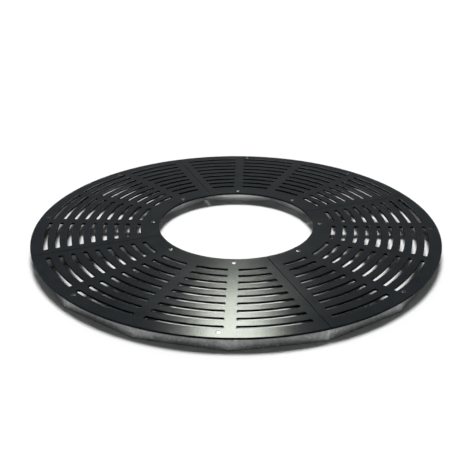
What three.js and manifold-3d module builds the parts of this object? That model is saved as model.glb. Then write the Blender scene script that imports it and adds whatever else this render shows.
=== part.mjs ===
// Round tree grate: four slotted steel plates screwed to four welded frames of galvanised flat bar.
// Millimetres, +Z up. The origin is at the centre of the tree opening, at ground level.
// Angles run anticlockwise from +X as seen from above, and the front of the grate faces -Y.
import * as THREE from "three";
import { mergeVertices } from "three/addons/utils/BufferGeometryUtils.js";
import Module from "manifold-3d";

const wasm = await Module();
wasm.setup();

// Overall size
const GRATE_RADIUS = 800;
const OPENING_RADIUS = 309;
const PLATE_THICKNESS = 8;

// Flat bar of the frames, stood on edge
const BAR_DEPTH = 50;
const BAR_THICKNESS = 6;

// Sections: each one is a plate on its own frame
const SECTION_NAMES = ["front", "right", "back", "left"];
const FRONT_SECTION_ANGLE = THREE.MathUtils.degToRad(-112.5);
const PLATE_GAP = 2; // between the plates of two sections
const FRAME_GAP = 0.3; // between the frames of two sections

// Slots: rows of arcs round the opening, in groups between the radial ribs
const ROWS = 9;
const GROUPS = 4;
const SLOT_WIDTH = 16;
const SLOT_CORNER = 4;
const INNER_MARGIN = 81; // from the opening to the middle of the first row
const OUTER_MARGIN = 54.8; // from the middle of the last row to the outer edge
const RIB_WIDTH = 38;
const BORDER_WIDTH = 32.5; // along a plate's straight sides

// Bands: the two bent bars of a frame, each one a row of straight flats
const OUTER_SIDES = GROUPS; // the outer band is bent under each rib
const INNER_SIDES = 2;

// Lugs: seats for the screws, welded on the sides of the bands that face the centre
const LUG_WIDTH = 30;
const LUG_THICKNESS = 8;
const LUG_END = 12; // from the screw to the free end
const OUTER_LUG_RIM = 1.2; // from the screw's hole to the outer band
const INNER_LUG_RIM = 13.9; // from the screw's hole to the inner band

// Countersunk screws, with a hexagon socket
const OUTER_SCREW_ANGLE = THREE.MathUtils.degToRad(20); // from the middle of the section
const INNER_SCREW_ANGLE = THREE.MathUtils.degToRad(22.5);
const OUTER_SCREW_INSET = 28.4; // from the outer edge
const INNER_SCREW_INSET = 27.7; // from the edge of the opening
const SHANK_RADIUS = 4;
const HEAD_RADIUS = 8;
const HEAD_LAND = 0.6; // straight rim over the cone
const SCREW_LENGTH = 20;
const SCREW_RECESS = 0.3; // head below the plate's face
const SCREW_TIP = 1;
const SOCKET_FLATS = 5; // across the flats
const SOCKET_DEPTH = 2.8;

// Bolts that join the frames of two sections
const BOLT_RADIUS = 6;
const BOLT_LENGTH = 30;
const BOLT_TIP = 1.2;
const HEX_FLATS = 18; // bolt head and nut, across the flats
const BOLT_HEAD_HEIGHT = 7.5;
const NUT_HEIGHT = 10;

// Clearances, tolerances and the length of a step along each kind of arc
const FIT_GAP = 0.3; // between pieces that are welded or clamped together
const SCREW_GAP = 0.4; // round a screw or bolt
const CUT_OVERRUN = 2;
const MERGE_DISTANCE = 0.001;
const EDGE_STEP = 35;
const OPENING_STEP = 20;
const SLOT_STEP = 60;
const LEAST_STEPS = 3;
const ROUND_SIDES = 12;

// Worked out from the sizes above
const SECTION_ANGLE = (2 * Math.PI) / SECTION_NAMES.length;
const HALF_SECTION = SECTION_ANGLE / 2;
const PLATE_TOP = BAR_DEPTH + PLATE_THICKNESS;
const OUTER_SIDE_HALF = HALF_SECTION / OUTER_SIDES;
const INNER_SIDE_HALF = HALF_SECTION / INNER_SIDES;
const OUTER_SCREW_RADIUS = GRATE_RADIUS - OUTER_SCREW_INSET;
const INNER_SCREW_RADIUS = OPENING_RADIUS + INNER_SCREW_INSET;
const LUG_HOLE = SHANK_RADIUS + SCREW_GAP;
const FIRST_ROW_RADIUS = OPENING_RADIUS + INNER_MARGIN;
const LAST_ROW_RADIUS = GRATE_RADIUS - OUTER_MARGIN;
const ROW_PITCH = (LAST_ROW_RADIUS - FIRST_ROW_RADIUS) / (ROWS - 1);
const HEAD_DEPTH = HEAD_LAND + HEAD_RADIUS - SHANK_RADIUS;
const HALF_JOINT = FRAME_GAP / 2 + BAR_THICKNESS;

// Faces of the bands, as distances of their flats from the centre
const OUTER_SCREW_DEPTH = OUTER_SCREW_RADIUS * Math.cos(OUTER_SCREW_ANGLE - OUTER_SIDE_HALF);
const OUTER_BAND_INSIDE = OUTER_SCREW_DEPTH + LUG_HOLE + OUTER_LUG_RIM;
const OUTER_BAND_OUTSIDE = OUTER_BAND_INSIDE + BAR_THICKNESS;
const INNER_SCREW_DEPTH = INNER_SCREW_RADIUS * Math.cos(INNER_SCREW_ANGLE - INNER_SIDE_HALF);
const INNER_BAND_INSIDE = INNER_SCREW_DEPTH + LUG_HOLE + INNER_LUG_RIM;
const INNER_BAND_OUTSIDE = INNER_BAND_INSIDE + BAR_THICKNESS;

// A flat that starts at a joint: how far out it is, the given distance away from the joint line
const placeAtJoint = (flat, flatHalf, distance) => flat / Math.cos(flatHalf) - distance * Math.tan(flatHalf);

const END_BAR_START = placeAtJoint(INNER_BAND_OUTSIDE, INNER_SIDE_HALF, FRAME_GAP / 2) + FIT_GAP;
const END_BAR_END = placeAtJoint(OUTER_BAND_INSIDE, OUTER_SIDE_HALF, HALF_JOINT) - FIT_GAP;
const BOLT_PLACE = (END_BAR_START + END_BAR_END) / 2;
const BOLT_HEIGHT = BAR_DEPTH / 2;

// Finishes
const coated = new THREE.MeshStandardMaterial({ color: 0x2a2e30, roughness: 0.38, metalness: 0.3 });
const galvanised = new THREE.MeshStandardMaterial({ color: 0x8f9394, roughness: 0.5, metalness: 0.85 });
const stainless = new THREE.MeshStandardMaterial({ color: 0xc2c6c7, roughness: 0.3, metalness: 1 });

// Outlines
const polar = (radius, angle) => new THREE.Vector2(radius * Math.cos(angle), radius * Math.sin(angle));

// Angle at which a circle lies the given distance from a line through its centre
const sideAngle = (radius, distance) => Math.asin(distance / radius);

function arc(radius, from, to, step) {
  const count = Math.max(LEAST_STEPS, Math.round((Math.abs(to - from) * radius) / step));
  return Array.from({ length: count + 1 }, (_, i) => polar(radius, from + ((to - from) * i) / count));
}

function polygon(radius, sides, turn = 0, centre = new THREE.Vector2()) {
  const corner = (_, i) => polar(radius, turn + (2 * Math.PI * i) / sides).add(centre);
  return Array.from({ length: sides }, corner);
}

const hexagon = (flats) => polygon(flats / 2 / Math.cos(Math.PI / 6), 6);

// A plate's outline: its straight sides lie half the gap inside the joint lines
function plateOutline() {
  const outerHalf = HALF_SECTION - sideAngle(GRATE_RADIUS, PLATE_GAP / 2);
  const innerHalf = HALF_SECTION - sideAngle(OPENING_RADIUS, PLATE_GAP / 2);
  return [
    ...arc(GRATE_RADIUS, -outerHalf, outerHalf, EDGE_STEP),
    ...arc(OPENING_RADIUS, innerHalf, -innerHalf, OPENING_STEP),
  ];
}

// One face of a bent band: a row of flats from joint to joint, with a corner at each bend
function bandFace(flat, flatHalf) {
  const flats = Math.round(HALF_SECTION / flatHalf);
  const bend = (_, i) => polar(flat / Math.cos(flatHalf), -HALF_SECTION + 2 * flatHalf * (i + 1));
  const end = new THREE.Vector2(placeAtJoint(flat, flatHalf, FRAME_GAP / 2), FRAME_GAP / 2);
  const centre = new THREE.Vector2();
  const first = end.clone().rotateAround(centre, -HALF_SECTION);
  const last = new THREE.Vector2(end.x, -end.y).rotateAround(centre, HALF_SECTION);
  return [first, ...Array.from({ length: flats - 1 }, bend), last];
}

// One slot between two ribs, its ends parallel to them and its corners cut
function slotOutline(rowRadius, group) {
  const ribAngle = (index) => -HALF_SECTION + (SECTION_ANGLE * index) / GROUPS;
  const halfRib = (index) => (index % GROUPS === 0 ? PLATE_GAP / 2 + BORDER_WIDTH : RIB_WIDTH / 2);
  const start = (radius, more = 0) => ribAngle(group) + sideAngle(radius, halfRib(group) + more);
  const end = (radius, more = 0) => ribAngle(group + 1) - sideAngle(radius, halfRib(group + 1) + more);
  const outer = rowRadius + SLOT_WIDTH / 2;
  const inner = rowRadius - SLOT_WIDTH / 2;
  return [
    ...arc(outer, start(outer, SLOT_CORNER), end(outer, SLOT_CORNER), SLOT_STEP),
    polar(outer - SLOT_CORNER, end(outer - SLOT_CORNER)),
    polar(inner + SLOT_CORNER, end(inner + SLOT_CORNER)),
    ...arc(inner, end(inner, SLOT_CORNER), start(inner, SLOT_CORNER), SLOT_STEP),
    polar(inner + SLOT_CORNER, start(inner + SLOT_CORNER)),
    polar(outer - SLOT_CORNER, start(outer - SLOT_CORNER)),
  ];
}

// Solids
function prism(outline, height, holes = []) {
  const shape = new THREE.Shape(outline);
  shape.holes = holes.map((points) => new THREE.Path(points));
  return new THREE.ExtrudeGeometry(shape, { depth: height, bevelEnabled: false });
}

// A turned solid about +Z, from a profile of [radius, height] pairs that runs upwards
function turned(profile) {
  const points = profile.map(([radius, height]) => new THREE.Vector2(radius, height));
  return new THREE.LatheGeometry(points, ROUND_SIDES).rotateX(Math.PI / 2);
}

function toSolid(geometry) {
  const bare = geometry.clone();
  bare.deleteAttribute("normal");
  bare.deleteAttribute("uv");
  const merged = mergeVertices(bare, MERGE_DISTANCE);
  const vertProperties = merged.getAttribute("position").array;
  const triVerts = new Uint32Array(merged.index.array);
  return new wasm.Manifold(new wasm.Mesh({ numProp: 3, vertProperties, triVerts }));
}

function toGeometry(solid) {
  const { vertProperties, triVerts } = solid.getMesh();
  const geometry = new THREE.BufferGeometry();
  geometry.setAttribute("position", new THREE.BufferAttribute(vertProperties, 3));
  geometry.setIndex(new THREE.BufferAttribute(triVerts, 1));
  geometry.computeVertexNormals();
  return geometry;
}

function cut(geometry, cutters) {
  const cutOnce = (solid, cutter) => solid.subtract(toSolid(cutter));
  return toGeometry(cutters.reduce(cutOnce, toSolid(geometry)));
}

function addPiece(parent, name, geometry, material) {
  const mesh = new THREE.Mesh(geometry, material);
  mesh.name = name;
  parent.add(mesh);
  return mesh;
}

function turnedGroup(parent, angle) {
  const group = new THREE.Group();
  group.rotation.z = angle;
  parent.add(group);
  return group;
}

// Screw seats of one section: where each screw sits, and the middle of the flat that carries its lug
const SEATS = [
  { name: "outer", radius: OUTER_SCREW_RADIUS, angle: OUTER_SCREW_ANGLE, flatAngle: OUTER_SIDE_HALF },
  { name: "inner", radius: INNER_SCREW_RADIUS, angle: INNER_SCREW_ANGLE, flatAngle: INNER_SIDE_HALF },
].flatMap(({ name, radius, angle, flatAngle }) => [
  { name, side: "a", radius, angle: -angle, flatAngle: -flatAngle },
  { name, side: "b", radius, angle, flatAngle },
]);

// Plate: the slots go straight through, and each screw hole is countersunk
function plateGeometry() {
  const slots = [];
  for (let row = 0; row < ROWS; row += 1) {
    for (let group = 0; group < GROUPS; group += 1) {
      slots.push(slotOutline(FIRST_ROW_RADIUS + row * ROW_PITCH, group));
    }
  }
  const blank = prism(plateOutline(), PLATE_THICKNESS, slots);
  const sinkRadius = HEAD_RADIUS + SCREW_GAP;
  const countersink = ({ radius, angle }) => {
    const profile = [
      [0, -PLATE_THICKNESS - CUT_OVERRUN],
      [LUG_HOLE, -PLATE_THICKNESS - CUT_OVERRUN],
      [LUG_HOLE, -HEAD_DEPTH],
      [sinkRadius, -HEAD_LAND],
      [sinkRadius, CUT_OVERRUN],
      [0, CUT_OVERRUN],
    ];
    return turned(profile).translate(radius, 0, PLATE_THICKNESS - SCREW_RECESS).rotateZ(angle);
  };
  return cut(blank, SEATS.map(countersink));
}

// Bands: the two bent flat bars of a frame
function bandGeometry(insideFlat, outsideFlat, flatHalf) {
  return prism([...bandFace(outsideFlat, flatHalf), ...bandFace(insideFlat, flatHalf).reverse()], BAR_DEPTH);
}

// End bar: the straight flat bar along a joint, drilled for the joint's bolt
function endBarGeometry() {
  const side = [
    new THREE.Vector2(END_BAR_START, 0),
    new THREE.Vector2(END_BAR_END, 0),
    new THREE.Vector2(END_BAR_END, BAR_DEPTH),
    new THREE.Vector2(END_BAR_START, BAR_DEPTH),
  ];
  const centre = new THREE.Vector2(BOLT_PLACE, BOLT_HEIGHT);
  const hole = polygon(BOLT_RADIUS + SCREW_GAP, ROUND_SIDES, 0, centre);
  return prism(side, BAR_THICKNESS, [hole]).rotateX(Math.PI / 2);
}

// Lug: a short plate from just past the screw to the band's flat, square to the flat
function lugGeometry({ name, radius, angle, flatAngle }) {
  const screw = polar(radius, angle - flatAngle);
  const from = screw.x - LUG_END;
  const to = (name === "outer" ? OUTER_BAND_INSIDE : INNER_BAND_INSIDE) - FIT_GAP;
  const outline = [
    new THREE.Vector2(from, screw.y - LUG_WIDTH / 2),
    new THREE.Vector2(to, screw.y - LUG_WIDTH / 2),
    new THREE.Vector2(to, screw.y + LUG_WIDTH / 2),
    new THREE.Vector2(from, screw.y + LUG_WIDTH / 2),
  ];
  return prism(outline, LUG_THICKNESS, [polygon(LUG_HOLE, ROUND_SIDES, 0, screw)]);
}

// Screw: its head's face is at height 0
function screwGeometry() {
  const body = turned([
    [0, -SCREW_LENGTH],
    [SHANK_RADIUS - SCREW_TIP, -SCREW_LENGTH],
    [SHANK_RADIUS, -SCREW_LENGTH + SCREW_TIP],
    [SHANK_RADIUS, -HEAD_DEPTH],
    [HEAD_RADIUS, -HEAD_LAND],
    [HEAD_RADIUS, 0],
    [0, 0],
  ]);
  const socket = prism(hexagon(SOCKET_FLATS), SOCKET_DEPTH + CUT_OVERRUN).translate(0, 0, -SOCKET_DEPTH);
  return cut(body, [socket]);
}

// Bolt: the underside of its head is at height 0, and its shank hangs below
function boltGeometry() {
  const head = prism(hexagon(HEX_FLATS), BOLT_HEAD_HEIGHT);
  const shank = turned([
    [0, -BOLT_LENGTH],
    [BOLT_RADIUS - BOLT_TIP, -BOLT_LENGTH],
    [BOLT_RADIUS, -BOLT_LENGTH + BOLT_TIP],
    [BOLT_RADIUS, BOLT_HEAD_HEIGHT / 2],
    [0, BOLT_HEAD_HEIGHT / 2],
  ]);
  return toGeometry(toSolid(head).add(toSolid(shank)));
}

function nutGeometry() {
  return prism(hexagon(HEX_FLATS), NUT_HEIGHT, [polygon(BOLT_RADIUS + FIT_GAP, ROUND_SIDES)]);
}

// One section: its plate, its frame, and the lugs and screws that hold the two together
function addSection(parent, sectionName, angle) {
  const section = turnedGroup(parent, angle);
  const plate = addPiece(section, `plate_${sectionName}`, plateGeometry(), coated);
  plate.position.z = BAR_DEPTH;

  const outerBand = bandGeometry(OUTER_BAND_INSIDE, OUTER_BAND_OUTSIDE, OUTER_SIDE_HALF);
  const innerBand = bandGeometry(INNER_BAND_INSIDE, INNER_BAND_OUTSIDE, INNER_SIDE_HALF);
  addPiece(section, `outer_band_${sectionName}`, outerBand, galvanised);
  addPiece(section, `inner_band_${sectionName}`, innerBand, galvanised);

  const firstSide = turnedGroup(section, -HALF_SECTION);
  const firstBar = addPiece(firstSide, `end_bar_${sectionName}_a`, endBarGeometry(), galvanised);
  firstBar.position.y = HALF_JOINT;
  const lastSide = turnedGroup(section, HALF_SECTION);
  const lastBar = addPiece(lastSide, `end_bar_${sectionName}_b`, endBarGeometry(), galvanised);
  lastBar.position.y = -FRAME_GAP / 2;

  for (const seat of SEATS) {
    const label = `${sectionName}_${seat.side}`;
    const flat = turnedGroup(section, seat.flatAngle);
    const lug = addPiece(flat, `${seat.name}_lug_${label}`, lugGeometry(seat), galvanised);
    lug.position.z = BAR_DEPTH - LUG_THICKNESS;
    const place = turnedGroup(section, seat.angle);
    const screw = addPiece(place, `${seat.name}_screw_${label}`, screwGeometry(), stainless);
    screw.position.set(seat.radius, 0, PLATE_TOP - SCREW_RECESS);
  }
}

// One joint between two frames: a bolt through both end bars, and its nut
function addJoint(parent, jointName, angle) {
  const joint = turnedGroup(parent, angle);
  const bolt = addPiece(joint, `joint_bolt_${jointName}`, boltGeometry(), stainless);
  bolt.rotation.x = Math.PI / 2;
  bolt.position.set(BOLT_PLACE, -HALF_JOINT - FIT_GAP, BOLT_HEIGHT);
  const nut = addPiece(joint, `joint_nut_${jointName}`, nutGeometry(), stainless);
  nut.rotation.x = Math.PI / 2;
  nut.position.set(BOLT_PLACE, HALF_JOINT + FIT_GAP + NUT_HEIGHT, BOLT_HEIGHT);
}

const grate = new THREE.Group();
SECTION_NAMES.forEach((sectionName, index) => {
  const angle = FRONT_SECTION_ANGLE + index * SECTION_ANGLE;
  const nextName = SECTION_NAMES[(index + 1) % SECTION_NAMES.length];
  addSection(grate, sectionName, angle);
  addJoint(grate, `${sectionName}_${nextName}`, angle + HALF_SECTION);
});

export default grate;
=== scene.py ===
# Round tree grate: four slotted black steel plates, screwed to galvanised frames of bent flat bar.
# Metres, +Z up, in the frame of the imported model. Sections run as the grate is put together.
import math
import bmesh
import bpy
from mathutils import Matrix, Vector


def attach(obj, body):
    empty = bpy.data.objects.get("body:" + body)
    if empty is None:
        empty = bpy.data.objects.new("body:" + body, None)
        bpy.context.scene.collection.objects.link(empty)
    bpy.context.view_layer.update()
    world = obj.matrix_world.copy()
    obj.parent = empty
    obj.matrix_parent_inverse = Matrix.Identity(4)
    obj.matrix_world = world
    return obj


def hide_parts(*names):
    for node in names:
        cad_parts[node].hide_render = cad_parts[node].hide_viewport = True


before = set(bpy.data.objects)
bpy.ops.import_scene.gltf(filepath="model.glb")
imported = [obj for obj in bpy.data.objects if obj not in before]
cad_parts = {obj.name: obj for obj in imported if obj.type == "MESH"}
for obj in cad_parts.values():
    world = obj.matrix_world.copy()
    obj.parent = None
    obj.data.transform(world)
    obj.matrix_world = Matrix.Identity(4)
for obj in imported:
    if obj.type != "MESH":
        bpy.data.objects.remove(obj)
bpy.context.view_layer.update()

# Camera: it looks down on the grate from the front, as in the photograph. The place was fitted to
# the two circles of the plates, the screws and the foot of the frame.
CAMERA_LENS = 50.486
CAMERA_SENSOR = 36
CAMERA_PLACE = (0.0614, -2.4251, 1.1971)
CAMERA_TURN = math.radians(1.3672)
CAMERA_TILT = math.radians(90 - 26.3904)
CAMERA_ROLL = math.radians(0.0435)

camera = bpy.data.objects.new("camera", bpy.data.cameras.new("camera"))
camera.data.lens = CAMERA_LENS
camera.data.sensor_width = CAMERA_SENSOR
camera.matrix_world = (
    Matrix.Translation(CAMERA_PLACE)
    @ Matrix.Rotation(CAMERA_TURN, 4, "Z")
    @ Matrix.Rotation(CAMERA_TILT, 4, "X")
    @ Matrix.Rotation(CAMERA_ROLL, 4, "Z")
)
bpy.context.scene.collection.objects.link(camera)
bpy.context.scene.camera = camera


# Floor: a plain white studio floor that runs out to the horizon and keeps the grate's shadow. To the
# camera and in reflections it is white, and it stays white where the lamp's light falls off.
FLOOR_RADIUS = 60
FLOOR_SIDES = 96
FLOOR_BOUNCE = 0.8
FADE_REACH = (0.85, 8.0)
CREASE = math.radians(13)


def add_node(tree, kind, inputs, **settings):
    """Adds a shader node; an input is given as a value or as the socket that feeds it."""
    made = tree.nodes.new("ShaderNode" + kind)
    for name, value in settings.items():
        setattr(made, name, value)
    for key, value in inputs.items():
        if isinstance(value, bpy.types.NodeSocket):
            tree.links.new(value, made.inputs[key])
        else:
            made.inputs[key].default_value = value
    return made


def calc(tree, operation, *values):
    """The output of a Math node on one to three values."""
    return add_node(tree, "Math", dict(enumerate(values)), operation=operation).outputs[0]


def ramp(tree, value, start, end=(0.0, 1.0)):
    """A value taken from the range start to the range end, and held inside it."""
    limits = {"From Min": start[0], "From Max": start[1], "To Min": end[0], "To Max": end[1]}
    return add_node(tree, "MapRange", {"Value": value, **limits}).outputs[0]


def new_material(name):
    """A material with its node tree and its bare Principled shader."""
    material = bpy.data.materials.new(name)
    material.use_nodes = True
    return material, material.node_tree, material.node_tree.nodes["Principled BSDF"]


def new_piece(name, bm, material):
    """Turns a finished bmesh into an object at the origin, its shallow edges shaded smooth."""
    for face in bm.faces:
        face.smooth = True
    for edge in bm.edges:
        edge.smooth = edge.calc_face_angle(math.pi) < CREASE
    mesh = bpy.data.meshes.new(name)
    bm.to_mesh(mesh)
    bm.free()
    mesh.materials.append(material)
    piece = bpy.data.objects.new(name, mesh)
    bpy.context.scene.collection.objects.link(piece)
    return piece


floor_material, tree, shader = new_material("studio_floor")
path = add_node(tree, "LightPath", {}).outputs
seen = calc(tree, "MAXIMUM", path["Is Camera Ray"], path["Is Glossy Ray"])
seen = calc(tree, "MAXIMUM", seen, path["Is Transmission Ray"])
white = ramp(tree, seen, (0.0, 1.0), (FLOOR_BOUNCE, 1.0))
distance = add_node(tree, "TexCoord", {})
distance = add_node(tree, "VectorMath", {0: distance.outputs["Object"]}, operation="LENGTH")
fade = ramp(tree, distance.outputs["Value"], FADE_REACH)
glow = calc(tree, "MULTIPLY", fade, seen)
shader.inputs["Emission Color"].default_value = (1, 1, 1, 1)
shader.inputs["Roughness"].default_value = 0.9
shader.inputs["Specular IOR Level"].default_value = 0.0
tree.links.new(white, shader.inputs["Base Color"])
tree.links.new(glow, shader.inputs["Emission Strength"])
bm = bmesh.new()
bmesh.ops.create_circle(bm, cap_ends=True, segments=FLOOR_SIDES, radius=FLOOR_RADIUS)
floor = new_piece("floor", bm, floor_material)


# Light: a wide round lamp high above, only dim in reflections, in a room that is dim behind the
# camera, a little lighter behind the grate, and white at its horizon. An oval panel behind the
# grate shows in the gloss of the front plate.
OVERHEAD_RADIUS = 1.15
OVERHEAD_PLACE = Vector((0, 0, 6.5))
SHEEN_SHARE = 0.1
SHEEN_PLACE = OVERHEAD_PLACE + Vector((0, 0, -0.01))
ROOM_COLOUR = (0.97, 0.99, 1.0, 1)
ROOM_LEVELS = (0.062, 0.155)
ROOM_DEPTH = (-0.3, 0.6)
HORIZON_RISE = (0.04, 0.16)
PANEL_SIZE = (0.84, 1.5)
PANEL_COLOUR = (0.94, 1.0, 0.88)
PANEL_PLACE = Vector((-0.10, 2.9, 3.02))
PANEL_TARGET = Vector((0, -0.5, 0.058))

# Levels: how light a white surface right under the lamp comes out, and how light the panel itself is.
OVERHEAD_LEVEL = 0.94
PANEL_LEVEL = 19


def mix_values(tree, share, first, second):
    """The output of a Mix node between two numbers."""
    return add_node(tree, "Mix", {0: share, 2: first, 3: second}).outputs[0]


def aimed(place, target):
    """Placement of a lamp that shines from one point to another, with its height upwards."""
    return Matrix.Translation(place) @ (target - place).to_track_quat("-Z", "Y").to_matrix().to_4x4()


# The first lamp lights the pieces and the second one shows in their gloss. Two lamps in the same
# place would hide each other in reflections, so the second hangs a little lower.
for name, share, place in (
    ("overhead_lamp", 1.0, OVERHEAD_PLACE),
    ("overhead_sheen", SHEEN_SHARE, SHEEN_PLACE),
):
    lamp = bpy.data.objects.new(name, bpy.data.lights.new(name, "AREA"))
    lamp.data.shape = "DISK"
    lamp.data.size = 2 * OVERHEAD_RADIUS
    lamp.data.energy = share * OVERHEAD_LEVEL * math.pi**2 * (OVERHEAD_RADIUS**2 + OVERHEAD_PLACE.z**2)
    lamp.matrix_world = aimed(place, Vector())
    lamp.visible_diffuse = name == "overhead_lamp"
    lamp.visible_glossy = name == "overhead_sheen"
    bpy.context.scene.collection.objects.link(lamp)

panel = bpy.data.objects.new("gloss_panel", bpy.data.lights.new("gloss_panel", "AREA"))
panel.data.shape = "ELLIPSE"
panel.data.size, panel.data.size_y = PANEL_SIZE
panel.data.energy = PANEL_LEVEL * math.pi**2 * PANEL_SIZE[0] * PANEL_SIZE[1] / 4
panel.data.color = PANEL_COLOUR
panel.matrix_world = aimed(PANEL_PLACE, PANEL_TARGET)
panel.visible_diffuse = False
bpy.context.scene.collection.objects.link(panel)

world = bpy.data.worlds.new("studio")
world.use_nodes = True
bpy.context.scene.world = world
tree = world.node_tree
direction = add_node(tree, "TexCoord", {})
axes = add_node(tree, "SeparateXYZ", {0: direction.outputs["Generated"]}).outputs
horizon = ramp(tree, axes["Z"], HORIZON_RISE, (1.0, 0.0))
room = ramp(tree, axes["Y"], ROOM_DEPTH, ROOM_LEVELS)
level = mix_values(tree, horizon, room, 1.0)
tree.nodes["Background"].inputs["Color"].default_value = ROOM_COLOUR
tree.links.new(level, tree.nodes["Background"].inputs["Strength"])
bpy.context.scene.view_settings.view_transform = "Standard"


# Plates: four quarter rings of 8 mm steel plate, cut with rows of arc slots whose ends run along
# the ribs, countersunk for the screws, and powder coated in a fine satin black.
MM = 0.001
SECTIONS = ("front", "right", "back", "left")
FRONT_TURN = math.radians(-112.5)
HALF_SECTION = math.radians(45)
SECTION_TURNS = {name: FRONT_TURN + index * 2 * HALF_SECTION for index, name in enumerate(SECTIONS)}
PLATE_BOTTOM = 50 * MM
PLATE_TOP = 58 * MM
OPENING_RADIUS = 309 * MM
GRATE_RADIUS = 800 * MM
HALF_GAP = 1 * MM
GROUPS = 4
ROWS = 9
FIRST_ROW = 390 * MM
ROW_PITCH = 44.4 * MM
HALF_SLOT = 8 * MM
SLOT_CORNER = 4 * MM
CORNER_STEPS = 4
SLOT_STEPS = 16
HALF_RIB = 19 * MM
HALF_BORDER = 33.5 * MM
PLATE_EDGE = 0.5 * MM
OUTER_SCREW = 771.6 * MM
OUTER_SCREW_TURN = math.radians(20)
INNER_SCREW = 336.7 * MM
INNER_SCREW_TURN = math.radians(22.5)
SCREW_PLACES = [(OUTER_SCREW, side * OUTER_SCREW_TURN) for side in (-1, 1)]
SCREW_PLACES += [(INNER_SCREW, side * INNER_SCREW_TURN) for side in (-1, 1)]
SINK_RADIUS = 8.4 * MM
SINK_LAND = 0.9 * MM
SINK_CONE = 4 * MM
ROUND_STEPS = 32

# Windows: the flat faces between two rings of a plate's mesh that the screw holes are cut in.
OUTER_WINDOW = (756 * MM, 788 * MM)
INNER_WINDOW = (318 * MM, 355 * MM)
WINDOW_REACH = 20 * MM
INNER_RINGS = (OPENING_RADIUS, *INNER_WINDOW)
OUTER_RINGS = (*OUTER_WINDOW, GRATE_RADIUS)
RINGS_PER_ROW = 2 * (CORNER_STEPS + 1)


def at_polar(radius, angle, z=0.0):
    """A point given by its radius, angle and height."""
    return Vector((radius * math.cos(angle), radius * math.sin(angle), z))


def turned(bm, angle):
    """Turns a whole mesh about the middle of the grate."""
    bmesh.ops.rotate(bm, verts=bm.verts, cent=(0, 0, 0), matrix=Matrix.Rotation(angle, 3, "Z"))


def ring_radii():
    """Radii of the rings in a plate's mesh, each with its distance past the straight part of a slot's end."""
    rings = [(radius, 0.0) for radius in INNER_RINGS]
    for row in range(ROWS):
        for side in (-1, 1):
            steps = range(CORNER_STEPS + 1)
            for step in reversed(steps) if side < 0 else steps:
                turn = math.pi / 2 * step / CORNER_STEPS
                out = HALF_SLOT - SLOT_CORNER + SLOT_CORNER * math.sin(turn)
                corner = SLOT_CORNER * (1 - math.cos(turn))
                rings.append((FIRST_ROW + row * ROW_PITCH + side * out, corner))
    return rings + [(radius, 0.0) for radius in OUTER_RINGS]


def column_angle(column, radius, corner):
    """Angle of a column of a plate's mesh at a radius: along the ribs it stays parallel to them."""
    group, step = divmod(column, SLOT_STEPS + 1)
    pitch = 2 * HALF_SECTION / GROUPS
    rib = -HALF_SECTION + group * pitch
    if step == 0:
        return rib + math.asin({0: HALF_GAP, GROUPS: -HALF_GAP}.get(group, 0) / radius)
    before = HALF_BORDER if group == 0 else HALF_RIB
    after = HALF_BORDER if group == GROUPS - 1 else HALF_RIB
    start = rib + math.asin((before + corner) / radius)
    end = rib + pitch - math.asin((after + corner) / radius)
    return start + (end - start) * (step - 1) / (SLOT_STEPS - 1)


def verts_in(geometry):
    """The vertices among the elements that an operator made."""
    return [v for v in geometry if isinstance(v, bmesh.types.BMVert)]


def edges_in(geometry):
    """The edges among the elements that an operator made."""
    return [e for e in geometry if isinstance(e, bmesh.types.BMEdge)]


def edges_at(verts):
    """The edges that meet the given vertices, each once and in a fixed order."""
    return list(dict.fromkeys(edge for vert in verts for edge in vert.link_edges))


def extend(bm, rim, vector, scale=1.0):
    """Extrudes a loop of edges by a vector, scales the new loop about its middle and returns it."""
    made = bmesh.ops.extrude_edge_only(bm, edges=rim)["geom"]
    verts = verts_in(made)
    bmesh.ops.translate(bm, verts=verts, vec=vector)
    middle = sum((vert.co for vert in verts), Vector()) / len(verts)
    bmesh.ops.scale(bm, verts=verts, vec=(scale, scale, scale), space=Matrix.Translation(-middle))
    return [e for e in edges_in(made) if all(v in verts for v in e.verts)]


def drill(bm, face, matrix, radius, steps):
    """Cuts a round or hexagonal hole in one flat face and returns the edges of its rim."""
    rim = bmesh.ops.create_circle(bm, cap_ends=False, segments=steps, radius=radius, matrix=matrix)["verts"]
    hole = edges_at(rim)
    border = list(face.edges)
    bmesh.ops.delete(bm, geom=[face], context="FACES_ONLY")
    bmesh.ops.triangle_fill(bm, use_beauty=True, use_dissolve=False, edges=border + hole)
    return hole


def sink_screw(bm, radius, angle):
    """Countersinks one screw hole through a plate."""
    rims = []
    for z in (PLATE_TOP, PLATE_BOTTOM):
        place = at_polar(radius, angle, z)
        windows = [face for face in bm.faces if len(face.verts) > 4]
        window = min(windows, key=lambda face: (face.calc_center_median() - place).length)
        hole_radius = SINK_RADIUS if z == PLATE_TOP else SINK_RADIUS - SINK_CONE
        rims.append(drill(bm, window, Matrix.Translation(place), hole_radius, ROUND_STEPS))
    rim = extend(bm, rims[0], (0, 0, -SINK_LAND))
    rim = extend(bm, rim, (0, 0, -SINK_CONE), (SINK_RADIUS - SINK_CONE) / SINK_RADIUS)
    bmesh.ops.bridge_loops(bm, edges=rim + rims[1])


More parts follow.
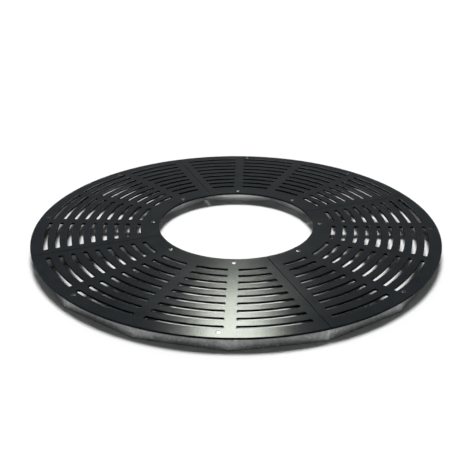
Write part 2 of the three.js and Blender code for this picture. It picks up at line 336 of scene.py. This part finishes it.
def slotted_plate():
    """One quarter plate in its section's own frame."""
    rings = ring_radii()
    columns = GROUPS * (SLOT_STEPS + 1)
    bm = bmesh.new()
    bmesh.ops.create_grid(bm, x_segments=columns, y_segments=len(rings) - 1, size=0.5)
    screw_rings = (1, len(rings) - len(OUTER_RINGS))
    slots = []
    margins = []
    for face in bm.faces:
        middle = face.calc_center_median() + Vector((0.5, 0.5, 0))
        ring = int(middle.y * (len(rings) - 1))
        row, part = divmod(ring - len(INNER_RINGS), RINGS_PER_ROW)
        in_slot_columns = 0 < int(middle.x * columns) % (SLOT_STEPS + 1) < SLOT_STEPS
        if ring in screw_rings:
            margins.append(face)
        elif in_slot_columns and 0 <= row < ROWS and part < RINGS_PER_ROW - 1:
            slots.append(face)
    for vert in bm.verts:
        radius, corner = rings[round((vert.co.y + 0.5) * (len(rings) - 1))]
        column = round((vert.co.x + 0.5) * columns)
        vert.co = at_polar(radius, column_angle(column, radius, corner), PLATE_TOP)
    for radius, angle in SCREW_PLACES:
        place = at_polar(radius, angle, PLATE_TOP)
        left = [face for face in margins if face.is_valid]
        near = [face for face in left if (face.calc_center_median() - place).length < WINDOW_REACH]
        bmesh.ops.dissolve_faces(bm, faces=near, use_verts=False)
    bmesh.ops.delete(bm, geom=slots, context="FACES")
    made = bmesh.ops.extrude_face_region(bm, geom=bm.faces[:])["geom"]
    bmesh.ops.translate(bm, verts=verts_in(made), vec=(0, 0, PLATE_BOTTOM - PLATE_TOP))
    bmesh.ops.recalc_face_normals(bm, faces=bm.faces)
    # The outline is every edge between a flat face and a side. It is broken with a small bevel.
    outline = [e for e in bm.edges if abs(e.link_faces[0].normal.z - e.link_faces[1].normal.z) > 0.5]
    bmesh.ops.bevel(
        bm, geom=outline, offset=PLATE_EDGE, affect="EDGES", segments=2, profile=0.5, material=-1,
        clamp_overlap=True,
    )
    for radius, angle in SCREW_PLACES:
        sink_screw(bm, radius, angle)
    bmesh.ops.recalc_face_normals(bm, faces=bm.faces)
    return bm


def new_effect(name, numbers):
    """An empty shader node group with a position, the given numbers and one output, Mask."""
    group = bpy.data.node_groups.new(name, "ShaderNodeTree")
    group.interface.new_socket(name="Position", in_out="INPUT", socket_type="NodeSocketVector")
    for label, value in numbers.items():
        socket = group.interface.new_socket(name=label, in_out="INPUT", socket_type="NodeSocketFloat")
        socket.default_value = value
    group.interface.new_socket(name="Mask", in_out="OUTPUT", socket_type="NodeSocketFloat")
    return group, group.nodes.new("NodeGroupInput").outputs, group.nodes.new("NodeGroupOutput").inputs["Mask"]


# Dust that settles on what faces up, in soft clouds.
DUST_FACING = (0.5, 1.0)
DUST_CLOUD = (0.35, 0.8)

settled_dust, given, mask = new_effect("settled_dust", {"Scale": 20.0, "Amount": 0.3})
facing = add_node(settled_dust, "NewGeometry", {})
facing = add_node(settled_dust, "SeparateXYZ", {0: facing.outputs["Normal"]})
facing = ramp(settled_dust, facing.outputs["Z"], DUST_FACING)
cloud = add_node(
    settled_dust,
    "TexNoise",
    {"Vector": given["Position"], "Scale": given["Scale"], "Detail": 7.0, "Roughness": 0.65},
)
cloud = ramp(settled_dust, cloud.outputs[0], DUST_CLOUD)
cloud = calc(settled_dust, "MULTIPLY", cloud, facing)
cloud = calc(settled_dust, "MULTIPLY", cloud, given["Amount"])
settled_dust.links.new(cloud, mask)

# Small scattered marks, each in its own cell, and only in some of the cells.
small_marks, given, mask = new_effect("small_marks", {"Scale": 90.0, "Size": 0.12, "Share": 0.3})
cells = add_node(small_marks, "TexVoronoi", {"Vector": given["Position"], "Scale": given["Scale"]}).outputs
shade = add_node(small_marks, "SeparateColor", {0: cells["Color"]})
picked = calc(small_marks, "LESS_THAN", shade.outputs["Red"], given["Share"])
inside = ramp(small_marks, cells["Distance"], (given["Size"], 0.0))
inside = calc(small_marks, "MULTIPLY", inside, picked)
small_marks.links.new(inside, mask)


def mix_colours(tree, share, first, second):
    """The output of a Mix node between two colours."""
    return add_node(tree, "Mix", {0: share, 6: first, 7: second}, data_type="RGBA").outputs[2]


# The coat: a fine orange peel, a little dust and lint, and duller on the cut sides than on the faces.
COAT_BLACK = (0.0062, 0.0088, 0.0115, 1)
COAT_ROUGHNESS = (0.15, 0.19)
COAT_GLOSS = 0.35
CUT_ROUGHNESS = 0.6
CUT_GLOSS = 0.02
DUST_GREY = (0.16, 0.16, 0.15, 1)
DUST_ROUGHNESS = 0.3
LINT_SHARE = 0.3
NOISE_RANGE = (0.3, 0.7)

coat, tree, shader = new_material("satin_powder_coat")
place = add_node(tree, "TexCoord", {}).outputs["Object"]
peel = add_node(tree, "TexNoise", {"Vector": place, "Scale": 450.0, "Detail": 3.0})
bump = add_node(tree, "Bump", {"Height": peel.outputs[0], "Strength": 0.5, "Distance": 0.1 * MM})
cloud = add_node(tree, "TexNoise", {"Vector": place, "Scale": 5.0, "Detail": 6.0, "Roughness": 0.6})
rough = ramp(tree, cloud.outputs[0], NOISE_RANGE, COAT_ROUGHNESS)
dust = add_node(tree, "Group", {"Position": place, "Scale": 14.0, "Amount": 0.05}, node_tree=settled_dust)
specks = add_node(
    tree, "Group", {"Position": place, "Scale": 60.0, "Size": 0.07, "Share": 0.25}, node_tree=small_marks
)
lint = calc(tree, "MULTIPLY", specks.outputs["Mask"], LINT_SHARE)
dusty = calc(tree, "MAXIMUM", dust.outputs["Mask"], lint)
colour = mix_colours(tree, dusty, COAT_BLACK, DUST_GREY)
rough = calc(tree, "MULTIPLY_ADD", dusty, DUST_ROUGHNESS, rough)
facing = add_node(tree, "NewGeometry", {})
facing = add_node(tree, "SeparateXYZ", {0: facing.outputs["Normal"]})
lying = calc(tree, "ABSOLUTE", facing.outputs["Z"])
rough = mix_values(tree, lying, CUT_ROUGHNESS, rough)
gloss = mix_values(tree, lying, CUT_GLOSS, COAT_GLOSS)
tree.links.new(gloss, shader.inputs["Specular IOR Level"])
tree.links.new(colour, shader.inputs["Base Color"])
tree.links.new(rough, shader.inputs["Roughness"])
tree.links.new(bump.outputs[0], shader.inputs["Normal"])


def fit_piece(name, bm, material, slot, *nodes):
    """Makes a finished piece on the one body; it takes the place of the given nodes, if any."""
    piece = new_piece(name, bm, material)
    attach(piece, "root")
    if nodes:
        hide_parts(*nodes)


for section, turn in SECTION_TURNS.items():
    bm = slotted_plate()
    turned(bm, turn)
    fit_piece("slotted_plate_" + section, bm, coat, "coated_plate", "plate_" + section)


# Bent bars: the outer and the inner bar of each section's frame, 50 x 6 mm flat bar stood on edge
# and bent on a press, under every rib outside and once inside. Hot dip galvanised after welding.
BAR_THICKNESS = 6 * MM
BAR_DEPTH = PLATE_BOTTOM
BAR_EDGE = 0.8 * MM
BAR_END_ROUND = 2.8 * MM
BEND_RADIUS = 8 * MM
BEND_STEPS = 6
BAR_OVERRUN = 10 * MM
HALF_FRAME_GAP = 0.15 * MM
OUTER_FLATS = GROUPS
INNER_FLATS = 2
SCREW_HOLE = 4.4 * MM
OUTER_LUG_RIM = 1.2 * MM
INNER_LUG_RIM = 13.9 * MM
OUTER_FLAT_TURN = HALF_SECTION / OUTER_FLATS
INNER_FLAT_TURN = HALF_SECTION / INNER_FLATS
OUTER_BAR_INSIDE = OUTER_SCREW * math.cos(OUTER_SCREW_TURN - OUTER_FLAT_TURN) + SCREW_HOLE + OUTER_LUG_RIM
INNER_BAR_INSIDE = INNER_SCREW + SCREW_HOLE + INNER_LUG_RIM
INNER_BAR_OUTSIDE = INNER_BAR_INSIDE + BAR_THICKNESS
BENT_BARS = (("outer", OUTER_BAR_INSIDE, OUTER_FLATS), ("inner", INNER_BAR_INSIDE, INNER_FLATS))

# Edges shorter than this are left over from a cut or a bevel, and are merged.
SPECK = 0.01 * MM


def bar_section(bm, middle, start):
    """The bar's cross-section as a loop of edges, at x = middle and y = start, facing along +Y."""
    corners = bmesh.ops.create_grid(bm, x_segments=1, y_segments=1, size=0.5)["verts"]
    place = Matrix.Translation((middle, start, BAR_DEPTH / 2)) @ Matrix.Rotation(math.radians(90), 4, "X")
    bmesh.ops.scale(bm, verts=corners, vec=(BAR_THICKNESS, BAR_DEPTH, 1))
    bmesh.ops.transform(bm, verts=corners, matrix=place)
    bmesh.ops.bevel(
        bm, geom=corners, offset=BAR_EDGE, affect="VERTICES", segments=3, profile=0.5, material=-1
    )
    bmesh.ops.delete(bm, geom=bm.faces[:], context="FACES_ONLY")
    return bm.edges[:]


def bent_bar(inside, flats):
    """One bent bar in its section's frame. It is walked flat by flat, each one laid along +Y first."""
    half_turn = HALF_SECTION / flats
    to_bend = (inside - BEND_RADIUS) * math.tan(half_turn)
    to_joint = inside * math.tan(half_turn) + BAR_OVERRUN
    bm = bmesh.new()
    end = bar_section(bm, inside + BAR_THICKNESS / 2, -to_joint)
    for flat in range(flats):
        is_first = flat == 0
        is_last = flat == flats - 1
        before = to_joint if is_first else to_bend
        after = to_joint if is_last else to_bend
        end = extend(bm, end, (0, before + after, 0))
        if not is_last:
            bent = bmesh.ops.spin(
                bm,
                geom=end + list(dict.fromkeys(vert for edge in end for vert in edge.verts)),
                cent=(inside - BEND_RADIUS, to_bend, 0),
                axis=(0, 0, 1),
                angle=2 * half_turn,
                steps=BEND_STEPS,
            )["geom_last"]
            end = edges_in(bent)
            turned(bm, -2 * half_turn)
    turned(bm, HALF_SECTION - half_turn)
    for side in (-1, 1):
        outward = Matrix.Rotation(side * HALF_SECTION, 3, "Z") @ Vector((0, side, 0))
        cut = bmesh.ops.bisect_plane(
            bm,
            geom=bm.verts[:] + bm.edges[:] + bm.faces[:],
            plane_co=-HALF_FRAME_GAP * outward,
            plane_no=outward,
            clear_outer=True,
        )["geom_cut"]
        end = edges_in(cut)
        bmesh.ops.edgeloop_fill(bm, edges=end)
        upright = [e for e in end if abs((e.verts[0].co - e.verts[1].co).z) > BAR_DEPTH / 2]
        bmesh.ops.bevel(
            bm, geom=upright, offset=BAR_END_ROUND, affect="EDGES", segments=5, profile=0.5, material=-1
        )
    bmesh.ops.dissolve_degenerate(bm, dist=SPECK, edges=bm.edges)
    bmesh.ops.recalc_face_normals(bm, faces=bm.faces)
    return bm


# The zinc: spangled and mottled grey, with clean, brighter zinc in small drops. The bars round the opening
# are painted lighter as painted light, and a painted highlight lies at the ends of the bars beside the
# joints.
ZINC_DARK = (0.19, 0.197, 0.194, 1)
ZINC_LIGHT = (0.38, 0.395, 0.388, 1)
# Colour of the clean zinc drops, also used for the painted light round the opening and the painted highlight
# at the joints.
ZINC_CLEAN_AND_LIT = (0.90, 0.92, 0.91, 1)
ZINC_ROUGHNESS = (0.36, 0.43)
SPANGLE_SHARE = 0.45
MOTTLE_SHARE = 0.55
DROP_SHARE = 0.35
# Painted light: how much lighter the bars round the opening are painted, and how far out it fades.
OPENING_LIGHT_SHARE = 0.68
OPENING_LIGHT_REACH = (0.37, 0.60)
# Painted highlight: how much lighter the ends of the bars beside the joints are painted, and over what
# distance.
JOINT_HIGHLIGHT_SHARE = 0.2
JOINT_HIGHLIGHT_REACH = (2.5 * MM, 5 * MM)

zinc, tree, shader = new_material("hot_dip_galvanised")
place = add_node(tree, "TexCoord", {}).outputs["Object"]
spangle = add_node(tree, "TexVoronoi", {"Vector": place, "Scale": 120.0})
spangle = add_node(tree, "SeparateColor", {0: spangle.outputs["Color"]}).outputs
mottle = add_node(tree, "TexNoise", {"Vector": place, "Scale": 28.0, "Detail": 6.0, "Roughness": 0.65})
mottle = ramp(tree, mottle.outputs[0], NOISE_RANGE)
shade = calc(tree, "MULTIPLY", spangle["Green"], SPANGLE_SHARE)
shade = calc(tree, "MULTIPLY_ADD", mottle, MOTTLE_SHARE, shade)
colour = mix_colours(tree, shade, ZINC_DARK, ZINC_LIGHT)
drops = add_node(
    tree, "Group", {"Position": place, "Scale": 70.0, "Size": 0.4, "Share": 0.25}, node_tree=small_marks
)
drops = calc(tree, "MULTIPLY", drops.outputs["Mask"], DROP_SHARE)
from_middle = add_node(tree, "VectorMath", {0: place}, operation="LENGTH")
# Painted light: the bars round the opening are painted lighter, fading out towards the outer bars.
clean_and_painted_light = ramp(tree, from_middle.outputs["Value"], OPENING_LIGHT_REACH, (OPENING_LIGHT_SHARE, 0.0))
clean_and_painted_light = calc(tree, "MAXIMUM", clean_and_painted_light, drops)
# Painted highlight: a lighter strip on the ends of the bars beside the joints.
to_joints = add_node(
    tree, "VectorRotate", {"Vector": place, "Angle": -FRONT_TURN - HALF_SECTION}, rotation_type="Z_AXIS"
)
to_joints = add_node(tree, "VectorMath", {0: to_joints.outputs[0]}, operation="ABSOLUTE")
to_joints = add_node(tree, "SeparateXYZ", {0: to_joints.outputs[0]}).outputs
to_joints = calc(tree, "MINIMUM", to_joints["X"], to_joints["Y"])
painted_joint_highlight = ramp(tree, to_joints, JOINT_HIGHLIGHT_REACH, (JOINT_HIGHLIGHT_SHARE, 0.0))
clean_and_painted_light = calc(tree, "MAXIMUM", clean_and_painted_light, painted_joint_highlight)
# Clean zinc in the drops, together with the painted light and the painted highlight, mixed into the zinc
# colour.
colour = mix_colours(tree, clean_and_painted_light, colour, ZINC_CLEAN_AND_LIT)
dust = add_node(tree, "Group", {"Position": place, "Scale": 30.0, "Amount": 0.5}, node_tree=settled_dust)
colour = mix_colours(tree, dust.outputs["Mask"], colour, DUST_GREY)
rough = ramp(tree, spangle["Red"], (0.0, 1.0), ZINC_ROUGHNESS)
bump = add_node(tree, "Bump", {"Height": mottle, "Strength": 0.4, "Distance": 0.1 * MM})
shader.inputs["Metallic"].default_value = 0.7
tree.links.new(colour, shader.inputs["Base Color"])
tree.links.new(rough, shader.inputs["Roughness"])
tree.links.new(bump.outputs[0], shader.inputs["Normal"])

for section, turn in SECTION_TURNS.items():
    for ring, inside, flats in BENT_BARS:
        bm = bent_bar(inside, flats)
        turned(bm, turn)
        fit_piece(f"bent_{ring}_bar_{section}", bm, zinc, "galvanised_bar", f"{ring}_band_{section}")


# Joint bars: the straight flat bars along the two ends of each frame, of the same bar, drilled in
# the middle for the bolt that holds two frames together, and welded to the bent bars.
SIDES = {"a": -1, "b": 1}
FIT_GAP = 0.3 * MM
BOLT_HOLE = 6.4 * MM
JOINT_BAR_START = INNER_BAR_OUTSIDE / math.cos(INNER_FLAT_TURN) + FIT_GAP
JOINT_BAR_START -= HALF_FRAME_GAP * math.tan(INNER_FLAT_TURN)
JOINT_BAR_END = OUTER_BAR_INSIDE / math.cos(OUTER_FLAT_TURN) - FIT_GAP
JOINT_BAR_END -= (HALF_FRAME_GAP + BAR_THICKNESS) * math.tan(OUTER_FLAT_TURN)
BOLT_PLACE = (JOINT_BAR_START + JOINT_BAR_END) / 2
BOLT_HEIGHT = BAR_DEPTH / 2

# A face lies across an axis when its normal has at least this share along it.
ACROSS = 0.99


def box(start, end):
    """A box between two corners."""
    bm = bmesh.new()
    bmesh.ops.create_cube(bm, size=1)
    size = Vector(end) - Vector(start)
    place = Matrix.Translation((Vector(start) + Vector(end)) / 2)
    bmesh.ops.transform(bm, verts=bm.verts, matrix=place @ Matrix.Diagonal((*size, 1)))
    return bm


def drill_through(bm, axis, matrices, radius):
    """Drills one round hole through the two faces that lie across an axis."""
    rims = []
    for face in [face for face in bm.faces if abs(face.normal[axis]) > ACROSS]:
        level = face.calc_center_median()[axis]
        near = min(matrices, key=lambda matrix: abs(matrix.translation[axis] - level))
        rims.append(drill(bm, face, near, radius, ROUND_STEPS))
    bmesh.ops.bridge_loops(bm, edges=rims[0] + rims[1])
    bmesh.ops.recalc_face_normals(bm, faces=bm.faces)


def joint_bar():
    """One joint bar along +X, with its face to the joint on y = 0."""
    bm = box((JOINT_BAR_START, 0, 0), (JOINT_BAR_END, BAR_THICKNESS, BAR_DEPTH))
    long_edges = [e for e in bm.edges if abs((e.verts[0].co - e.verts[1].co).x) > BAR_DEPTH]
    bmesh.ops.bevel(
        bm, geom=long_edges, offset=BAR_EDGE, affect="EDGES", segments=3, profile=0.5, material=-1,
        clamp_overlap=True,
    )
    sideways = Matrix.Rotation(math.radians(90), 4, "X")
    places = [Matrix.Translation((BOLT_PLACE, y, BOLT_HEIGHT)) @ sideways for y in (0, BAR_THICKNESS)]
    drill_through(bm, 1, places, BOLT_HOLE)
    return bm


for section, turn in SECTION_TURNS.items():
    for label, side in SIDES.items():
        bm = joint_bar()
        start = HALF_FRAME_GAP if side < 0 else -HALF_FRAME_GAP - BAR_THICKNESS
        bmesh.ops.translate(bm, verts=bm.verts, vec=(0, start, 0))
        turned(bm, turn + side * HALF_SECTION)
        fit_piece(f"joint_bar_{section}_{label}", bm, zinc, "galvanised_bar", f"end_bar_{section}_{label}")


# Lugs: short flat seats with a tapped hole, welded on the bent bars just under the plates, where the
# screws pull the plates down. Their two free corners are rounded.
LUG_HALF_WIDTH = 15 * MM
LUG_THICKNESS = 8 * MM
LUG_BOTTOM = BAR_DEPTH - LUG_THICKNESS
LUG_END = 12 * MM
LUG_CORNER = 4 * MM
LUG_ROOTS = {"outer": OUTER_BAR_INSIDE, "inner": INNER_BAR_INSIDE}
TOLERANCE = 0.1 * MM


def lug(root, screw):
    """One lug in the frame of its flat, from just past its screw to the bar's face at x = root."""
    free = screw.x - LUG_END
    bm = box((free, screw.y - LUG_HALF_WIDTH, LUG_BOTTOM), (root, screw.y + LUG_HALF_WIDTH, BAR_DEPTH))
    corners = [e for e in bm.edges if all(abs(v.co.x - free) < TOLERANCE for v in e.verts)]
    corners = [e for e in corners if abs((e.verts[0].co - e.verts[1].co).z) > TOLERANCE]
    bmesh.ops.bevel(
        bm, geom=corners, offset=LUG_CORNER, affect="EDGES", segments=5, profile=0.5, material=-1,
        clamp_overlap=True,
    )
    places = [Matrix.Translation((screw.x, screw.y, z)) for z in (LUG_BOTTOM, BAR_DEPTH)]
    drill_through(bm, 2, places, SCREW_HOLE)
    return bm


def seats():
    """Name, side letter, screw radius, screw angle and flat angle of each seat in a section."""
    for name, radius, angle, flat in (
        ("outer", OUTER_SCREW, OUTER_SCREW_TURN, OUTER_FLAT_TURN),
        ("inner", INNER_SCREW, INNER_SCREW_TURN, INNER_FLAT_TURN),
    ):
        for label, side in SIDES.items():
            yield name, label, radius, side * angle, side * flat


for section, turn in SECTION_TURNS.items():
    for name, label, radius, angle, flat in seats():
        bm = lug(LUG_ROOTS[name] - FIT_GAP, at_polar(radius, angle - flat))
        turned(bm, turn + flat)
        fit_piece(
            f"screw_lug_{name}_{section}_{label}", bm, zinc, "galvanised_bar", f"{name}_lug_{section}_{label}"
        )


# Welds: rippled beads in the corners where the joint bars and the lugs meet the bent bars.
# They are of mild steel and lie under the zinc, as the frame was dipped whole.
WELD_RADIUS = 3 * MM
WELD_RIPPLE = 1.6 * MM
WELD_SIDES = 10
WELD_TAPER = 0.5
WELD_NECK = 0.86
WELD_MARGIN = 3 * MM


def weld_bead(bm, start, end):
    """One rippled bead from start to end."""
    along = end - start
    steps = 2 * round(along.length / WELD_RIPPLE / 2)
    place = Matrix.Translation(start) @ along.to_track_quat("Z", "Y").to_matrix().to_4x4()
    verts = bmesh.ops.create_circle(
        bm, cap_ends=True, segments=WELD_SIDES, radius=WELD_RADIUS * WELD_TAPER, matrix=place
    )["verts"]
    rim = extend(bm, edges_at(verts), along / steps / 2, 1 / WELD_TAPER)
    for step in range(steps - 1):
        rim = extend(bm, rim, along / steps, WELD_NECK if step % 2 == 0 else 1 / WELD_NECK)
    rim = extend(bm, rim, along / steps / 2, WELD_TAPER)
    bmesh.ops.edgeloop_fill(bm, edges=rim)


for section, turn in SECTION_TURNS.items():
    bm = bmesh.new()
    for name, label, radius, angle, flat in seats():
        middle = at_polar(radius, angle - flat).y
        to_flat = Matrix.Rotation(flat, 3, "Z")
        along = [middle + side * LUG_HALF_WIDTH for side in (-1, 1)]
        weld_bead(bm, *(to_flat @ Vector((LUG_ROOTS[name], y, LUG_BOTTOM)) for y in along))
    for side in (-1, 1):
        to_joint = Matrix.Rotation(side * HALF_SECTION, 3, "Z")
        inward = -side * (HALF_FRAME_GAP + BAR_THICKNESS)
        for x in (JOINT_BAR_START, JOINT_BAR_END):
            heights = (WELD_MARGIN, BAR_DEPTH - WELD_MARGIN)
            weld_bead(bm, *(to_joint @ Vector((x, inward, z)) for z in heights))
    bmesh.ops.recalc_face_normals(bm, faces=bm.faces)
    turned(bm, turn)
    fit_piece("weld_beads_" + section, bm, zinc, "galvanised_bar")


# Socket screws: M8 countersunk screws of bright stainless steel, with a hexagon socket and a
# cut thread. They are turned into the lugs until their heads lie just under the plates' faces.
HEAD_RADIUS = 8 * MM
HEAD_LAND = 0.6 * MM
HEAD_FACE = 6.8 * MM
HEAD_DOME = 0.25 * MM
SHANK_RADIUS = 4 * MM
SCREW_LENGTH = 20 * MM
SCREW_FACE = PLATE_TOP - 0.3 * MM
SCREW_TIP = 1 * MM
HEX_SIDES = 6
HEX_FLAT = math.cos(math.pi / HEX_SIDES)
SOCKET_RADIUS = 2.5 * MM / HEX_FLAT
SOCKET_DEPTH = 2.8 * MM
SCREW_THREAD = 1.25 * MM
THREAD_DEPTH = 0.6 * MM
STEEL_COLOUR = (0.30, 0.31, 0.31, 1)
STEEL_ROUGHNESS = (0.24, 0.32)


def cut_thread(bm, rim, radius, length, pitch, tip):
    """Draws a threaded shank down from a rim of edges, as a row of rings, and closes its tip."""
    turns = int((length - tip) / pitch)
    root = 1 - THREAD_DEPTH / radius
    rim = extend(bm, rim, (0, 0, turns * pitch + tip - length))
    for _ in range(turns):
        rim = extend(bm, rim, (0, 0, -pitch / 2), root)
        rim = extend(bm, rim, (0, 0, -pitch / 2), 1 / root)
    rim = extend(bm, rim, (0, 0, -tip), 1 - tip / radius)
    bmesh.ops.edgeloop_fill(bm, edges=rim)


def socket_screw():
    """One screw, with its face at height 0."""
    bm = bmesh.new()
    verts = bmesh.ops.create_circle(bm, cap_ends=True, segments=ROUND_STEPS, radius=HEAD_FACE)["verts"]
    rim = edges_at(verts)
    socket = drill(bm, bm.faces[:][0], Matrix(), SOCKET_RADIUS, HEX_SIDES)
    socket = extend(bm, socket, (0, 0, -SOCKET_DEPTH))
    bmesh.ops.edgeloop_fill(bm, edges=socket)
    rim = extend(bm, rim, (0, 0, -HEAD_DOME), HEAD_RADIUS / HEAD_FACE)
    rim = extend(bm, rim, (0, 0, HEAD_DOME - HEAD_LAND))
    cone = HEAD_RADIUS - SHANK_RADIUS
    rim = extend(bm, rim, (0, 0, -cone), SHANK_RADIUS / HEAD_RADIUS)
    cut_thread(bm, rim, SHANK_RADIUS, SCREW_LENGTH - HEAD_LAND - cone, SCREW_THREAD, SCREW_TIP)
    bmesh.ops.recalc_face_normals(bm, faces=bm.faces)
    return bm


steel, tree, shader = new_material("bright_stainless_steel")
place = add_node(tree, "TexCoord", {}).outputs["Object"]
stain = add_node(tree, "TexNoise", {"Vector": place, "Scale": 120.0, "Detail": 5.0})
rough = ramp(tree, stain.outputs[0], NOISE_RANGE, STEEL_ROUGHNESS)
dust = add_node(tree, "Group", {"Position": place, "Scale": 150.0, "Amount": 0.4}, node_tree=settled_dust)
colour = mix_colours(tree, dust.outputs["Mask"], STEEL_COLOUR, DUST_GREY)
grain = add_node(tree, "TexNoise", {"Vector": place, "Scale": 2500.0, "Detail": 2.0})
bump = add_node(tree, "Bump", {"Height": grain.outputs[0], "Strength": 0.2, "Distance": 0.05 * MM})
shader.inputs["Metallic"].default_value = 1.0
tree.links.new(colour, shader.inputs["Base Color"])
tree.links.new(rough, shader.inputs["Roughness"])
tree.links.new(bump.outputs[0], shader.inputs["Normal"])

for section, turn in SECTION_TURNS.items():
    for name, label, radius, angle, flat in seats():
        bm = socket_screw()
        bmesh.ops.translate(bm, verts=bm.verts, vec=(radius, 0, SCREW_FACE))
        turned(bm, turn + angle)
        fit_piece(
            f"socket_screw_{name}_{section}_{label}",
            bm,
            steel,
            "stainless_fastener",
            f"{name}_screw_{section}_{label}",
        )


# Joint bolts: M12 hexagon bolts and nuts of stainless steel through the joint bars of two frames.
# Both have the turned chamfer of a hexagon head.
BOLT_RADIUS = 6 * MM
BOLT_LENGTH = 30 * MM
BOLT_TIP = 1.2 * MM
BOLT_THREAD = 1.75 * MM
HEX_HALF = 9 * MM
BOLT_HEAD_HEIGHT = 7.5 * MM
NUT_HEIGHT = 10 * MM
NUT_HOLE = 6.3 * MM
CHAMFER_SIDES = 24
CHAMFER_SLOPE = math.radians(30)
HALF_JOINT = HALF_FRAME_GAP + BAR_THICKNESS


def hexagon_head(height, chamfered):
    """A hexagon from height 0 up, its corners turned off at the given ends: 1 is the top, -1 the bottom."""
    bm = bmesh.new()
    bmesh.ops.create_circle(bm, cap_ends=True, segments=HEX_SIDES, radius=HEX_HALF / HEX_FLAT)
    made = bmesh.ops.extrude_face_region(bm, geom=bm.faces[:])["geom"]
    bmesh.ops.translate(bm, verts=verts_in(made), vec=(0, 0, height))
    for end in chamfered:
        for step in range(CHAMFER_SIDES):
            turn = Matrix.Rotation(2 * math.pi * step / CHAMFER_SIDES, 3, "Z")
            cut = bmesh.ops.bisect_plane(
                bm,
                geom=bm.verts[:] + bm.edges[:] + bm.faces[:],
                plane_co=turn @ Vector((HEX_HALF, 0, height if end > 0 else 0)),
                plane_no=turn @ Vector((math.sin(CHAMFER_SLOPE), 0, end * math.cos(CHAMFER_SLOPE))),
                clear_outer=True,
            )["geom_cut"]
            bmesh.ops.edgeloop_fill(bm, edges=edges_in(cut))
    bmesh.ops.dissolve_degenerate(bm, dist=SPECK, edges=bm.edges)
    bmesh.ops.recalc_face_normals(bm, faces=bm.faces)
    return bm


def hex_bolt():
    """One bolt, with the underside of its head at height 0 and its shank below."""
    bm = hexagon_head(BOLT_HEAD_HEIGHT, (1,))
    verts = bmesh.ops.create_circle(bm, cap_ends=True, segments=ROUND_STEPS, radius=BOLT_RADIUS)["verts"]
    bmesh.ops.translate(bm, verts=verts, vec=(0, 0, BOLT_HEAD_HEIGHT / 2))
    shank_length = BOLT_LENGTH + BOLT_HEAD_HEIGHT / 2
    cut_thread(bm, edges_at(verts), BOLT_RADIUS, shank_length, BOLT_THREAD, BOLT_TIP)
    bmesh.ops.recalc_face_normals(bm, faces=bm.faces)
    return bm


def hex_nut():
    """One nut, from height 0 up."""
    bm = hexagon_head(NUT_HEIGHT, (1, -1))
    drill_through(bm, 2, [Matrix.Translation((0, 0, z)) for z in (0, NUT_HEIGHT)], NUT_HOLE)
    return bm


for index, section in enumerate(SECTIONS):
    joint = section + "_" + SECTIONS[(index + 1) % len(SECTIONS)]
    turn = FRONT_TURN + (2 * index + 1) * HALF_SECTION
    for name, bm, y in (
        ("bolt", hex_bolt(), -HALF_JOINT - FIT_GAP),
        ("nut", hex_nut(), HALF_JOINT + FIT_GAP + NUT_HEIGHT),
    ):
        place = Matrix.Translation((BOLT_PLACE, y, BOLT_HEIGHT)) @ Matrix.Rotation(math.radians(90), 4, "X")
        bmesh.ops.transform(bm, verts=bm.verts, matrix=place)
        turned(bm, turn)
        fit_piece(f"hex_{name}_{joint}", bm, steel, "stainless_fastener", f"joint_{name}_{joint}")
